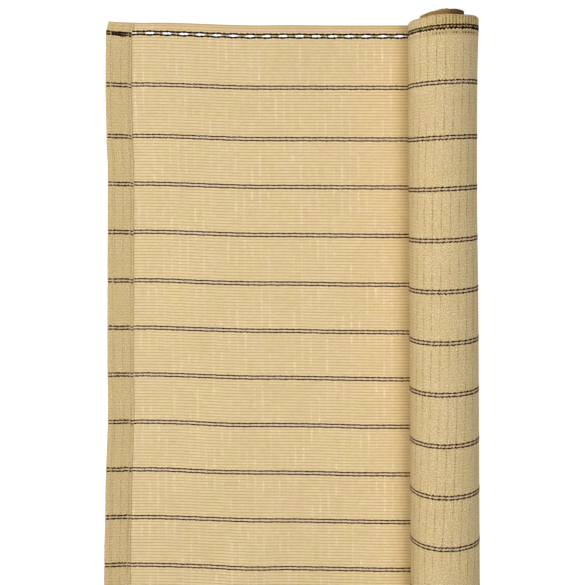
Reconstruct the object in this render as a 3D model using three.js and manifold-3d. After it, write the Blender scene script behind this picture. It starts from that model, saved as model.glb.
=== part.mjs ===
// Knitted shade net, partly unrolled from its cardboard core.
// Lengths in millimetres. +X runs along the net's length, +Y across its width, +Z up from the surface.
// Inside the model, x is measured from the loose end, and w is the distance from the top selvedge.
import * as THREE from 'three';
import { mergeVertices } from 'three/addons/utils/BufferGeometryUtils.js';
import Module from 'manifold-3d';

// Net
const netWidth = 1000;
const clothThickness = 1.2;
const touchGap = 0.3;

// Hem at the loose end, folded onto the front face
const hemWidth = 38;
const hemLayerGap = 0.4;

// Pairs of dark chain rows across the net: two wide spaces at each selvedge, even ones between
const eyeletRowInset = 15.5;
const widePitch = 73;
const evenPitch = 67.7;
const evenSpaces = 10;
const stripeRise = 0.5;
const stripeHalfWidth = 3;
const stripeShoulder = 0.8;

// Eyelets between the chains of the first and last row
const eyeletCount = 16;
const firstEyeletX = 61.6;
const eyeletPitch = 23.57;
const eyeletLength = 13.6;
const eyeletHeight = 4.8;
const bandWidth = 27;

// How the flat part lies: low waves, and selvedges that rise a little towards the loose end
const waveHeight = 2.6;
const waveLength = 210;
const waveWidth = 390;
const swayRise = 4.6;
const swayStart = 49;
const swayEnd = 226;
const sagDrop = 2.6;
const sagDepth = 570;
const leftEdge = [
  { w: 0, shift: 1.4 },
  { w: 55, shift: -0.7 },
  { w: 200, shift: 2.6 },
  { w: 480, shift: 1.9 },
  { w: 545, shift: 2.7 },
  { w: 680, shift: -1.0 },
  { w: 770, shift: -2.7 },
  { w: 1000, shift: -1.0 },
];
const edgeFade = 120;

// Roll and core
const rollAxisX = 471;
const rollRadius = 46.6;
const rollSettle = 0.5;
const rimFlare = 1.2;
const rimFlareReach = 45;
const rollLean = 0.005;
const leftPull = 0.013;
const pressedReach = 25;
const rollSegments = 40;
const coreOuterRadius = 30;
const coreInnerRadius = 25.5;
const coreProud = 12;

const rollAxisZ = rollRadius - rollSettle;
const undersideClear = clothThickness + touchGap;
const cutDepth = 40;
const wasm = await Module();
wasm.setup();

const clothLook = new THREE.MeshStandardMaterial({ color: 0xdfc697, roughness: 0.9, metalness: 0 });
const reverseLook = new THREE.MeshStandardMaterial({ color: 0xcbb282, roughness: 0.92, metalness: 0 });
const bandLook = new THREE.MeshStandardMaterial({ color: 0xd8c3a1, roughness: 0.9, metalness: 0 });
const boardLook = new THREE.MeshStandardMaterial({ color: 0x9a7440, roughness: 0.85, metalness: 0 });

function smooth(from, to, value) {
  return THREE.MathUtils.smoothstep(value, from, to);
}

// Distances from the top selvedge of every pair of chain rows, the two eyelet rows included
function stripeRows() {
  const rows = [eyeletRowInset];
  const pitches = [widePitch, widePitch, ...Array(evenSpaces).fill(evenPitch), widePitch, widePitch];
  for (const pitch of pitches) rows.push(rows.at(-1) + pitch);
  return rows;
}

// Section lines across the width: both selvedges, and four lines for each raised stripe
function widthLines() {
  const offsets = [
    -stripeHalfWidth,
    -stripeHalfWidth + stripeShoulder,
    stripeHalfWidth - stripeShoulder,
    stripeHalfWidth,
  ];
  const lines = stripeRows().flatMap((row) => offsets.map((offset) => row + offset));
  return [0, ...lines, netWidth];
}

function onStripeTop(w) {
  return stripeRows().some((row) => Math.abs(w - row) < stripeHalfWidth - stripeShoulder / 2);
}

// How far the loose end stands right of x = 0, a soft line through the places of the table
function edgeShift(w) {
  const next = Math.max(1, leftEdge.findIndex((place) => place.w >= w));
  const before = leftEdge[next - 1];
  const after = leftEdge[next];
  return THREE.MathUtils.lerp(before.shift, after.shift, smooth(before.w, after.w, w));
}

// How far the cloth's rows stand above their straight place across the width
function rowSway(x, w) {
  const rise = swayRise * (1 - smooth(swayStart, swayEnd, x));
  const towardsRoll = smooth(swayEnd, rollAxisX - rollRadius, x);
  return rise - sagDrop * towardsRoll * smooth(0, sagDepth, w);
}

// Height of the cloth's underside over the surface, zero wherever it touches
function wave(x, w) {
  const along = (2 * Math.PI * (x + 0.35 * w)) / waveLength;
  const across = (2 * Math.PI * w) / waveWidth;
  const fade = smooth(0, 2 * hemWidth, x) * (1 - smooth(rollAxisX - 130, rollAxisX - 60, x));
  return waveHeight * fade * Math.max(0, Math.sin(along) * Math.cos(across) - 0.1);
}

// Closed solid of an outline in x and z that runs across the width; lie(x, z, w) puts each point in place
function acrossWidth(outline, lie) {
  const lines = widthLines();
  const steps = lines.length - 1;
  const shape = new THREE.Shape(outline.map(([x, z]) => new THREE.Vector2(x, z)));
  const geometry = new THREE.ExtrudeGeometry(shape, { depth: steps, steps, bevelEnabled: false });
  const points = geometry.attributes.position;
  for (let i = 0; i < points.count; i += 1) {
    const w = lines[Math.round(points.getZ(i))];
    const place = lie(points.getX(i), points.getY(i), w);
    points.setXYZ(i, place.x, netWidth / 2 - w + place.rise, place.z);
  }
  return geometry;
}

function toSolid(geometry) {
  const bare = geometry.clone();
  bare.deleteAttribute('normal');
  bare.deleteAttribute('uv');
  const merged = mergeVertices(bare, 1e-4);
  const vertProperties = Float32Array.from(merged.attributes.position.array);
  const triVerts = Uint32Array.from(merged.index.array);
  return new wasm.Manifold(new wasm.Mesh({ numProp: 3, vertProperties, triVerts }));
}

function toGeometry(solid) {
  const { vertProperties, triVerts } = solid.getMesh();
  const geometry = new THREE.BufferGeometry();
  geometry.setAttribute('position', new THREE.BufferAttribute(vertProperties, 3));
  geometry.setIndex(new THREE.BufferAttribute(triVerts, 1));
  geometry.computeVertexNormals();
  return geometry;
}

// Outline of the sheet seen from its selvedge: along the surface, round the fold and back over itself
function sheetOutline() {
  const stackHeight = 2 * clothThickness + hemLayerGap;
  const foldCentre = stackHeight / 2;
  const end = rollAxisX - touchGap;
  const columns = 12;
  const span = end - hemWidth;
  const under = [];
  const over = [];
  for (let i = 0; i <= columns; i += 1) {
    const x = hemWidth + (span * i) / columns;
    under.unshift([x, 0]);
    over.push([x, clothThickness]);
  }
  const outerFold = [];
  const innerFold = [];
  const foldSteps = 4;
  for (let i = 0; i <= foldSteps; i += 1) {
    const turn = -Math.PI / 2 - (Math.PI * i) / foldSteps;
    const reach = [Math.cos(turn), Math.sin(turn)];
    const inner = hemLayerGap / 2;
    outerFold.push([foldCentre * (1 + reach[0]), foldCentre * (1 + reach[1])]);
    innerFold.unshift([foldCentre + inner * reach[0], foldCentre + inner * reach[1]]);
  }
  const hemEdge = [
    [hemWidth, stackHeight],
    [hemWidth, stackHeight - clothThickness],
  ];
  return [...under, ...outerFold, ...hemEdge, ...innerFold, ...over];
}

// The whole flat cloth in one solid, waves, sway, raised stripes and hem included
function flatCloth() {
  const hemTop = 2 * clothThickness + hemLayerGap;
  return acrossWidth(sheetOutline(), (x, z, w) => {
    const beyondHem = x > hemWidth && Math.abs(z - clothThickness) < 1e-3;
    const onFront = beyondHem || z > hemTop - 1e-3;
    const pressed = smooth(rollAxisX - pressedReach, rollAxisX - pressedReach / 2, x);
    const raised = onFront && onStripeTop(w) ? stripeRise * (1 - pressed) : 0;
    const edge = edgeShift(w) * (1 - smooth(hemWidth, hemWidth + edgeFade, x));
    const lean = rollLean * (w - netWidth / 2) * smooth(hemWidth, rollAxisX - touchGap, x);
    return { x: x + edge + lean, z: z + wave(x, w) + raised, rise: rowSway(x, w) };
  });
}

// Upright block over one selvedge, used to part its eyelet strip from the panel
function bandBlock(side, grow) {
  const block = new THREE.BoxGeometry(4 * rollAxisX, 2 * (bandWidth + grow), cutDepth);
  block.translate(0, (side * netWidth) / 2, 0);
  return toSolid(block);
}

// Upright lens with blunt ends, right through the cloth
function eyeletBlock(x, y) {
  const half = eyeletLength / 2;
  const rise = eyeletHeight / 2;
  const quarter = [
    [half, 0],
    [0.82 * half, 0.68 * rise],
    [0.56 * half, rise],
  ];
  const top = [...quarter, ...quarter.map(([px, py]) => [-px, py]).reverse()];
  const bottom = top.slice(1, -1).map(([px, py]) => [px, -py]).reverse();
  const shape = new THREE.Shape([...top, ...bottom].map(([px, py]) => new THREE.Vector2(px, py)));
  const block = new THREE.ExtrudeGeometry(shape, { depth: cutDepth, steps: 1, bevelEnabled: false });
  block.translate(x, y, -cutDepth / 2);
  return toSolid(block);
}

function eyeletPlaces(side) {
  const w = side > 0 ? eyeletRowInset : netWidth - eyeletRowInset;
  return Array.from({ length: eyeletCount }, (_, i) => {
    const x = firstEyeletX + i * eyeletPitch;
    return { x, y: netWidth / 2 - w + rowSway(x, w) };
  });
}

function eyeletBand(cloth, side) {
  let band = cloth.intersect(bandBlock(side, 0));
  for (const { x, y } of eyeletPlaces(side)) band = band.subtract(eyeletBlock(x, y));
  return toGeometry(band);
}

function netPanel(cloth) {
  const panel = cloth.subtract(bandBlock(1, touchGap)).subtract(bandBlock(-1, touchGap));
  return toGeometry(panel);
}

// Outline of the wound net seen from its end: one outward turn with a step where the flat part leaves it
function rollOutline() {
  const outline = [];
  for (let i = 0; i <= rollSegments; i += 1) {
    const turned = i / rollSegments;
    const angle = -Math.PI / 2 + 2 * Math.PI * turned;
    const radius = rollRadius - undersideClear * turned;
    outline.push([radius * Math.cos(angle), radius * Math.sin(angle)]);
  }
  return outline;
}

function rimSpread(w) {
  const fromRim = Math.min(w, netWidth - w) / rimFlareReach;
  return rimFlare * Math.exp(-fromRim * fromRim);
}

// The wound net: raised stripes, flared rims, its far side drawn in, and flat where it touches below
function netRoll() {
  const wound = acrossWidth(rollOutline(), (x, z, w) => {
    const turned = (rollRadius - Math.hypot(x, z)) / undersideClear;
    const angle = -Math.PI / 2 + 2 * Math.PI * turned;
    const raised = onStripeTop(w) ? stripeRise : 0;
    const radius = Math.hypot(x, z) + rimSpread(w) + raised;
    const restingOn = turned > 0.75 ? undersideClear : 0;
    return {
      x: radius * Math.cos(angle),
      z: Math.max(rollAxisZ + radius * Math.sin(angle), restingOn),
      rise: leftPull * smooth(0.5, 0.75, turned) * (w - netWidth / 2),
    };
  });
  const bore = new THREE.LatheGeometry(
    [
      new THREE.Vector2(0, -netWidth),
      new THREE.Vector2(coreOuterRadius + touchGap, -netWidth),
      new THREE.Vector2(coreOuterRadius + touchGap, netWidth),
      new THREE.Vector2(0, netWidth),
    ],
    rollSegments,
  );
  bore.translate(0, 0, rollAxisZ);
  return toGeometry(toSolid(wound).subtract(toSolid(bore)));
}

function coreTube() {
  const half = netWidth / 2 + coreProud;
  const profile = [
    new THREE.Vector2(coreInnerRadius, -half),
    new THREE.Vector2(coreOuterRadius, -half),
    new THREE.Vector2(coreOuterRadius, half),
    new THREE.Vector2(coreInnerRadius, half),
    new THREE.Vector2(coreInnerRadius, -half),
  ];
  const tube = new THREE.LatheGeometry(profile, rollSegments);
  tube.translate(0, 0, rollAxisZ);
  return tube;
}

function piece(name, geometry, look) {
  const mesh = new THREE.Mesh(geometry, look);
  mesh.name = name;
  return mesh;
}

const cloth = toSolid(flatCloth());
const flatPart = new THREE.Group();
flatPart.add(piece('net_panel', netPanel(cloth), clothLook));
flatPart.add(piece('eyelet_band_top', eyeletBand(cloth, 1), bandLook));
flatPart.add(piece('eyelet_band_bottom', eyeletBand(cloth, -1), bandLook));

const woundPart = new THREE.Group();
woundPart.add(piece('net_roll', netRoll(), reverseLook));
woundPart.add(piece('core_tube', coreTube(), boardLook));
woundPart.position.x = rollAxisX;
woundPart.rotation.z = rollLean;

const group = new THREE.Group();
group.add(flatPart, woundPart);
const box = new THREE.Box3().setFromObject(group, true);
group.position.set(-(box.min.x + box.max.x) / 2, -(box.min.y + box.max.y) / 2, -box.min.z);

export default group;
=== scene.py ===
# A knitted shade net, partly unrolled from its cardboard core. Metres; +X along the net, +Y across it, +Z up.
import math

import bpy
import numpy as np
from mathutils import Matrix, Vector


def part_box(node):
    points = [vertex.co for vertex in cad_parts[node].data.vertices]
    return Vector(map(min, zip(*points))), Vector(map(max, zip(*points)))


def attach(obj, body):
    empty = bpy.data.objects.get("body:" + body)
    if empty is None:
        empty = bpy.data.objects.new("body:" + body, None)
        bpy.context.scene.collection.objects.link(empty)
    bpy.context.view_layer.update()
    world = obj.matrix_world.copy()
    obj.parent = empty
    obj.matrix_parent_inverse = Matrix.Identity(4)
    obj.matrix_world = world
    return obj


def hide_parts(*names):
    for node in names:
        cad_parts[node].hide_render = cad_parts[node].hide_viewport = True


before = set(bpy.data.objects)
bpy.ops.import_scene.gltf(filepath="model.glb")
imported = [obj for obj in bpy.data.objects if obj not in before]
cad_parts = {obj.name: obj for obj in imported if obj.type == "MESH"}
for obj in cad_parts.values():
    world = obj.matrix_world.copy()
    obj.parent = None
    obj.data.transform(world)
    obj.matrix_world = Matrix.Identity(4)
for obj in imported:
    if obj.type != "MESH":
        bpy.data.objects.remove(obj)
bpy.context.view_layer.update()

# Net, measured from its loose end (x) and from its top selvedge (w)
WIDTH = 1.0
SHEET = 0.0008
FLAT_MID = 0.0005
STITCH = 0.0031
HEM = 0.0365
HEM_MID = 0.0021

# Chain rows: a dark pair at each stripe, spaced as in the solids
ROW_INSET = 0.0155
WIDE_PITCH = 0.073
EVEN_PITCH = 0.0677
EVEN_SPACES = 10
PAIR = 0.0043
SELVEDGE_RIBS = 3
WIDE_RIBS = 16
EVEN_RIBS = 15
BESIDE_STRIPE = (0.6, 2.2)

# Rounded ribs between the chain lines, pressed flat before the roll
RIB_FRONT = 0.00032
RIB_BACK = 0.00008
RIB_SELVEDGE = 0.0002
RIB_TURN = 0.00012
RIB_ROUND = 0.7
RIB_END = (0.030, 0.012)

# Eyelets in the first and last row, and the lengths on one where its outline has a point
EYELETS = 16
EYELET_START = 0.0628
EYELET_PITCH = 0.02369
EYELET_HALF = 0.0070
EYELET_RISE = 0.0020
EYELET_ROUND = 0.7
EYELET_SHUT = 0.0002
EYELET_BULGE = 0.00065
EYELET_BULGE_DEPTH = 0.003
EYELET_PINCH = 0.30
EYELET_STEPS = (-1, -0.92, -0.75, -0.5, -0.2, 0.2, 0.5, 0.75, 0.92, 1)
SLIT_COLUMNS = (0.35, 0.65)

# Weft yarns: how closely they lie, and how far past the roll's top one of them is at places across the net
WEFTS_A_METRE = (84.8, 3.7)
WEFT_START = (0.17, -1.58)
HEM_WEFT_START = 0.41
ROLL_WEFTS = (
    (0.06, -0.0088),
    (0.26, -0.0021),
    (0.40, -0.0002),
    (0.53, 0.0026),
    (0.66, 0.0083),
    (0.72, 0.0119),
)

# Lie of the flat part: a rise, a drop or a shift, then the places and lengths between which it fades
WAVE = (0.0026, 0.210, 0.390)
WAVE_SLANT = 0.35
WAVE_LEAST = 0.1
WAVE_END = (0.130, 0.060)
SWAY = (0.0046, 0.049, 0.226)
SAG = (0.0026, 0.570)
SLACK = (0.0006, 0.0019, 0.380, 0.080)
SLACK_BELOW = (0.45, 0.60)
EDGE_FADE = 0.120
EDGE_DIP = (0.0010, 0.055, 0.028, 0.010)
CORNER = (0.0011, 0.010, 0.020)
HEM_PUFF = (0.0007, 0.4, 0.031)
HEM_SLANT = (0.0019, 0.0045)
HEM_DIP = (0.0010, 0.0318, 0.0352)
HEM_DIP_END = (0.62, 0.85)

# Places across the net, and how far the loose end stands out at each
LEFT_EDGE = (
    (0.0, 0.0030),
    (0.016, -0.0004),
    (0.090, -0.0008),
    (0.165, 0.0005),
    (0.205, 0.0023),
    (0.480, 0.0019),
    (0.545, 0.0027),
    (0.680, -0.0010),
    (0.770, -0.0027),
    (1.0, -0.0010),
)

# Roll, wound about the tube of the solids, with loose outer turns and uneven ends
ROLL_X = 0.471
ROLL_RADIUS = 0.0466
TURN_PITCH = 0.00084
LOOSE_TURNS = 3
RIM = (0.0024, 0.055)
RIM_LEAST = 0.3
RIM_DROP = (0.0005, 0.0008)
SHOULDER = (0.0021, 0.011)
SHOULDER_SIDE = (0.25, 0.75)
CORNER_DROP = (0.0014, 0.009)
SQUEEZE = (0.0011, 0.24, 0.11)
SLUMP = (0.0022, 0.37, 0.075)
LEAN = 0.005
SKEW = 0.051
WOUND_DRIFT = ((0.0012, 0.071, 0), (0.0009, 0.0293, 1))
WOUND_DRIFT_DEPTH = 0.1

# Cardboard tube: its torn upper end, and how its wall's end rises and falls from ply to ply
CORE_LOW, CORE_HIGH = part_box("core_tube")
AXIS = (CORE_LOW + CORE_HIGH) / 2
CORE_RADIUS = (CORE_HIGH.z - CORE_LOW.z) / 2
CORE_BORE = 0.0255
CORE_SHRINK = 0.9999
CORE_EDGE = 0.0004
CORE_PLIES = (0.0002, -0.00005, 0.0003, 0, 0.0003, -0.0001, 0.0002)
CORE_RINGS = (0, 0.0006, 0.002, 0.005, 0.009, 0.014, 0.030, 0.100, 0.300)
CORE_SIDES = 96
CORE_DENT = (0.0004, 0.985)
CORE_WEAR = (0.0003, 0.9985)
CORE_TEAR = (0.0008, 0.0054, 0.0011)
CORE_TEAR_START = 0.97
CORE_RAGGED = (0.0003, 0.00012)

# Sizes that follow from those above
START_X = AXIS.x - ROLL_X
FOLD_RADIUS = (HEM_MID - FLAT_MID) / 2
FOLD_LENGTH = math.pi * FOLD_RADIUS
HEM_START = -(HEM - FOLD_RADIUS) - FOLD_LENGTH
FLAT_LENGTH = ROLL_X - FOLD_RADIUS
MID_RADIUS = ROLL_RADIUS - SHEET / 2
TURNS = (MID_RADIUS - CORE_RADIUS - SHEET) / TURN_PITCH

# Chains of two crossing strands. Zigzags are for a plain row and for a row beside the eyelets; a wave has a
# height, a pace by the stitch and a shift by the row
STRAND_HALF = 0.00090
STRAND_RISE = 0.00042
STRAND_SWING = 0.00024
STRAND_LIFT = (0.55, 0.45)
STRAND_SIDES = 5
ROW_SHIFT = 0.37
CHAIN_STEPS = 3
CHAIN_END = 0.010
HEM_CHAIN_START = 0.0005
HEM_CHAIN_END = 0.97
HEM_CHAIN_STEP = 0.7
CHAIN_ZIGZAG = (0.00040, 0.00018)
ROLL_ZIGZAG = (0.00056, 0.00090)
ZIGZAG_STITCHES = 1.5
ZIGZAG_FITS = (0.35, 0.21, 2.3)
CHAIN_DRIFT = ((0.00016, 0.83, 1), (0.00012, 2.9, 5))
CHAIN_UNEVEN = ((0.36, 4.1, 3), (0.34, 2.37, 5.1), (0.16, 7.3, 1))
CHAIN_THINNEST = 0.4
CHAIN_CALM = 0.6
EYELET_CHAIN = 1.45
HEM_CHAIN = 1.12
HEM_EYELET_CHAIN = 0.75
HEM_SLACK_CHAIN = 0.5
HEM_SLACK_FADE = 0.002
ROLL_CHAIN = (0.02, 0.20, 0.44, 0.30)
ROLL_UPPER = 0.74
ROLL_THICK = (0.12, 0.60, 0.52)
ROLL_LUMPS = (0.22, 1.31)
ROLL_PRESS = 0.40
ROLL_FOOT = (0.02, 0.09)
ROLL_RISE_LEAST = 0.4

# Sewing thread, the slack yarn in the hem, and the pin holes of the reverse face
THREAD_HALF = 0.00042
THREAD_SIDES = 6
THREAD_RINGS = 5
THREAD_SINK = 0.2
THREAD_TAPER = 0.45
SEAM_INSETS = (0.0046, 0.0295)
SEAM_ENDS = (0.002, 0.006)
SEAM_STITCH = 0.0042
SEAM_REACH = 0.86
SEAM_STAGGER = 0.0015
SEAM_SWAY = (0.0003, 700)
SEAM_PINCH = (0.9, 0.0009)
HEM_TANGLE = (0.0078, 0.0310)
TANGLE_PLACES = (-0.00145, -0.00116, -0.00077, 0.00087, 0.00135, 0.00213, 0.00260)
TANGLE_LOW = 0.0015
TANGLE_STEPS = 40
TANGLE_SAG = (0.0014, 0.32, 0.20)
TANGLE_TUCK = (0.0012, 0.75, 1.0)
TANGLE_THIN = (0.15, 0.20, 0.50)
TANGLE_CURL = (0.0006, 21, 3.7, 2.1)
TANGLE_CALM = 0.5
TANGLE_LIFT = (0.7, 0.5, 23, 2.3)
TANGLE_HALF = (0.75, 0.30, 31, 1.7)
TANGLE_FLAT = 0.7
PIN_PITCH = 0.0043
PIN_ROW = 0.0026

# Steps of the sheets' grids, and the angle from which an edge is sharp
HEM_STEPS = 9
FOLD_STEPS = 7
FLAT_STEPS = 44
TURN_STEPS = 73
WOUND_STEPS_A_TURN = 56
WOUND_ENDS = (0, 0.0012, 0.004, 0.010, 0.020, 0.060)
SELVEDGE_STEP = 0.008
COLUMNS_A_RIB = 3
TURN_COLUMNS_A_RIB = 2
SHARP_ANGLE = math.radians(50)


def smooth(low, high, value):
    """0 up to the low end and 1 from the high end on, smoothly between."""
    t = np.clip((value - low) / (high - low), 0, 1)
    return t * t * (3 - 2 * t)


def bell(value, place, spread):
    """1 at a place, less and less away from it."""
    return np.exp(-(((value - place) / spread) ** 2))


def stripe_rows():
    """Places across the net of the stripes' middles."""
    pitches = [WIDE_PITCH] * 2 + [EVEN_PITCH] * EVEN_SPACES + [WIDE_PITCH] * 2
    return ROW_INSET + np.concatenate([[0], np.cumsum(pitches)])


def wale_lines():
    """Places of all chain lines across the width, and the number of each stripe's first dark line."""
    rows = stripe_rows()
    lines = list(np.linspace(0, rows[0] - PAIR / 2, SELVEDGE_RIBS + 1))
    dark = [len(lines) - 1]
    for above, below in zip(rows[:-1], rows[1:]):
        ribs = WIDE_RIBS if below - above > (WIDE_PITCH + EVEN_PITCH) / 2 else EVEN_RIBS
        lines += list(np.linspace(above + PAIR / 2, below - PAIR / 2, ribs + 1))
        dark.append(len(lines) - 1)
    lines += list(np.linspace(rows[-1] + PAIR / 2, WIDTH, SELVEDGE_RIBS + 1))
    return np.array(lines), np.array(dark)


LINES, DARK = wale_lines()
LAST = len(LINES) - 1
EYELET_LINES = (DARK[0], DARK[0] + 1, DARK[-1], DARK[-1] + 1)


def across(phase):
    """Distance from the top selvedge of a place counted in chain lines."""
    return np.interp(phase, np.arange(LAST + 1), LINES)


def edge_shift(w):
    """How far the loose end stands out, smoothly from one place of LEFT_EDGE to the next."""
    places = np.array(LEFT_EDGE)
    after = np.clip(np.searchsorted(places[:, 0], w), 1, len(places) - 1)
    low, high = places[after - 1], places[after]
    return low[..., 1] + (high[..., 1] - low[..., 1]) * smooth(low[..., 0], high[..., 0], w)


def row_sway(x, w):
    """How far the rows of the flat part stray from straight lines."""
    rise, start, end = SWAY
    drop, depth = SAG
    towards_roll = smooth(end, ROLL_X - ROLL_RADIUS, x)
    base, dip, centre, spread = SLACK
    slack = base - dip * bell(w, centre, spread) + base * smooth(*SLACK_BELOW, w)
    return rise * (1 - smooth(start, end, x)) - drop * towards_roll * smooth(0, depth, w) + slack


def wave(x, w):
    """Low waves of the flat part."""
    height, length, width = WAVE
    start, end = ROLL_X - np.array(WAVE_END)
    along = np.sin(2 * math.pi * (x + WAVE_SLANT * w) / length)
    fade = smooth(0, 2 * HEM, x) * (1 - smooth(start, end, x))
    return height * fade * np.maximum(0, along * np.cos(2 * math.pi * w / width) - WAVE_LEAST)


def eyelet_shape(x):
    """1 at an eyelet's middle, 0 at its ends and between eyelets. The first one lies half under the hem."""
    nearest = np.clip(np.round((x - EYELET_START) / EYELET_PITCH), -1, EYELETS - 1)
    out = (x - EYELET_START - nearest * EYELET_PITCH) / EYELET_HALF
    return np.clip(1 - out * out, 0, 1) * np.where(nearest < 0, EYELET_PINCH, 1)


def eyelet_spread(s, w):
    """How far the chain lines beside the eyelet rows stand apart from their even place."""
    x = s + FOLD_RADIUS
    bulge = EYELET_BULGE * eyelet_shape(x) * (s > 0) * (x < ROLL_X - ROLL_RADIUS)
    total = 0
    for row in (ROW_INSET, WIDTH - ROW_INSET):
        off = w - row
        beyond = np.maximum(np.abs(off) - PAIR / 2, 0)
        total = total + np.sign(off) * bell(beyond, 0, EYELET_BULGE_DEPTH)
    return bulge * total


def weft_count(s, w):
    """Weft yarns counted along the net, over the hem, the flat part and the roll."""
    places = np.array(ROLL_WEFTS)
    roll_top = FLAT_LENGTH + length_at(0.5) + np.interp(w, places[:, 0], places[:, 1])
    close, drift = WEFTS_A_METRE
    start, slant = WEFT_START
    hem = close * s + HEM_WEFT_START
    flat = s * (close + drift * w) + start + slant * w
    roll = close * (s - roll_top) + HEM_WEFT_START
    return np.where(s > FLAT_LENGTH, roll, np.where(s < 0, hem, flat))


def turns_at(s):
    """Turns wound at a length s past the place where the cloth meets the roll's foot."""
    inside = MID_RADIUS**2 - TURN_PITCH * np.maximum(s, 0) / math.pi
    return (MID_RADIUS - np.sqrt(np.maximum(inside, 0))) / TURN_PITCH


def length_at(turns):
    """Length of cloth in a number of turns, from the outermost one inwards."""
    return 2 * math.pi * (MID_RADIUS * turns - TURN_PITCH * turns**2 / 2)


def flat_place(s, w):
    """Middle of the cloth in the hem, in its fold and over the flat part."""
    turn = np.clip(-s / FOLD_RADIUS, 0, math.pi)
    past_fold = np.maximum(-s - FOLD_LENGTH, 0)
    inside = np.clip(past_fold / (HEM - FOLD_RADIUS), 0, 1)
    x = FOLD_RADIUS * (1 - np.sin(turn)) + np.clip(s, 0, FLAT_LENGTH) + past_fold

    puff, uneven, length = HEM_PUFF
    z = FLAT_MID + FOLD_RADIUS * (1 - np.cos(turn)) + wave(x, w)
    z = z + puff * np.sin(math.pi * inside) ** 2 * (1 - uneven + uneven * np.sin(w / length))

    slant, fan = HEM_SLANT
    y = WIDTH / 2 - w + row_sway(x, w) - inside * (slant - fan * w)
    rise, length, depth = CORNER
    y = y + rise * bell(x, 0, length) * bell(w, 0, depth)
    dip, place, length, depth = EDGE_DIP
    y = y - dip * bell(x, place, length) * bell(w, 0, depth)
    dip, start, end = HEM_DIP
    y = y - dip * (past_fold > 0) * smooth(start, end, x) * (1 - smooth(*HEM_DIP_END, w))

    edge = edge_shift(w) * (1 - smooth(HEM, HEM + EDGE_FADE, x))
    lean = LEAN * (w - WIDTH / 2) * smooth(HEM, ROLL_X, x)
    return np.stack([x + edge + lean, y, z], -1)


def wound_place(s, w):
    """Middle of the cloth on the roll, from its foot round and round to the tube."""
    n = turns_at(s - FLAT_LENGTH)
    loose = np.clip(1 - n / LOOSE_TURNS, 0, 1)
    flare, depth = RIM
    rim = bell(np.minimum(w, WIDTH - w), 0, depth) * loose
    swell, place, spread = SLUMP
    radius = MID_RADIUS - TURN_PITCH * n + swell * bell(n % 1, place, spread) * loose
    radius = radius + flare * rim * np.clip(RIM_LEAST + np.sin(2 * math.pi * n), 0, 1)
    over = radius * np.sin(2 * math.pi * n)
    part = over / ROLL_RADIUS
    z = np.maximum(AXIS.z - radius * np.cos(2 * math.pi * n), FLAT_MID + TURN_PITCH * n)

    narrow, place, spread = SQUEEZE
    x = ROLL_X + over + LEAN * (w - WIDTH / 2) - narrow * bell(w, place, spread) * smooth(0, 1, part)

    y = WIDTH / 2 - w + row_sway(ROLL_X, w) * (1 - smooth(0, 0.25, n)) + SKEW * over
    left, right = RIM_DROP
    y = y - np.where(part < 0, left, right) * rim * part**2 * smooth(WIDTH / 2, 0, w)
    drop, depth = SHOULDER
    y = y - drop * bell(w, 0, depth) * smooth(*SHOULDER_SIDE, -part)
    drop, depth = CORNER_DROP
    y = y - drop * bell(w, 0, depth) * np.maximum(part, 0)
    return np.stack([x, y, z], -1)


def lie(s, w):
    """Middle of the cloth, as points, at length s from the hem's fold and w from the top selvedge."""
    s, w = np.broadcast_arrays(np.asarray(s, float), np.asarray(w, float))
    places = np.where((s > FLAT_LENGTH)[..., None], wound_place(s, w), flat_place(s, w))
    return places + [START_X, 0, 0]


def lie_frame(s, w):
    """Points, front-face normals and directions across the cloth."""
    step = 2e-4
    here = lie(s, w)
    along = lie(s + step, w) - lie(s - step, w)
    up = lie(s, w - step) - lie(s, w + step)
    normal = np.cross(along, up)
    normal /= np.linalg.norm(normal, axis=-1, keepdims=True)
    up /= np.linalg.norm(up, axis=-1, keepdims=True)
    return here, normal, up


def mesh_object(name, points, faces, materials, face_material=None, fields=None):
    """Piece of the part's one body, with its materials and the fields that they read."""
    mesh = bpy.data.meshes.new(name)
    mesh.from_pydata(points.reshape(-1, 3).tolist(), [], faces)
    for material in materials:
        mesh.materials.append(material)
    if face_material is not None:
        mesh.polygons.foreach_set("material_index", face_material)
    mesh.polygons.foreach_set("use_smooth", [True] * len(mesh.polygons))
    for key, values in (fields or {}).items():
        kind, property_name = ("FLOAT_VECTOR", "vector") if values.ndim > 1 else ("FLOAT", "value")
        layer = mesh.attributes.new(key, kind, "POINT")
        layer.data.foreach_set(property_name, values.ravel())
    mesh.set_sharp_from_angle(angle=SHARP_ANGLE)
    piece = bpy.data.objects.new(name, mesh)
    bpy.context.scene.collection.objects.link(piece)
    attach(piece, "root")
    return piece


def shell_faces(keep):
    """Faces of a closed sheet over the kept cells of a grid, and for each 1 if it is on its back, else 0."""
    rows, columns = keep.shape[0] + 1, keep.shape[1] + 1
    count = rows * columns
    index = np.arange(count).reshape(rows, columns)
    a, b = index[:-1, :-1][keep], index[1:, :-1][keep]
    c, d = index[1:, 1:][keep], index[:-1, 1:][keep]
    upper = np.stack([a, d, c, b], 1)
    lower = np.stack([a, b, c, d], 1) + count
    padded = np.pad(keep, 1)
    sides = (
        (padded[:-2, 1:-1], index[:-1, :-1], index[:-1, 1:]),
        (padded[2:, 1:-1], index[1:, 1:], index[1:, :-1]),
        (padded[1:-1, :-2], index[1:, :-1], index[:-1, :-1]),
        (padded[1:-1, 2:], index[:-1, 1:], index[1:, 1:]),
    )
    walls = []
    for beside, start, end in sides:
        edge = keep & ~beside
        p, q = start[edge], end[edge]
        walls.append(np.stack([p, p + count, q + count, q], 1))
    walls = np.concatenate(walls)
    on_back = np.concatenate([np.zeros(len(upper)), np.ones(len(lower)), np.zeros(len(walls))])
    return np.concatenate([upper, lower, walls]).tolist(), on_back.astype(int)


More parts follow.
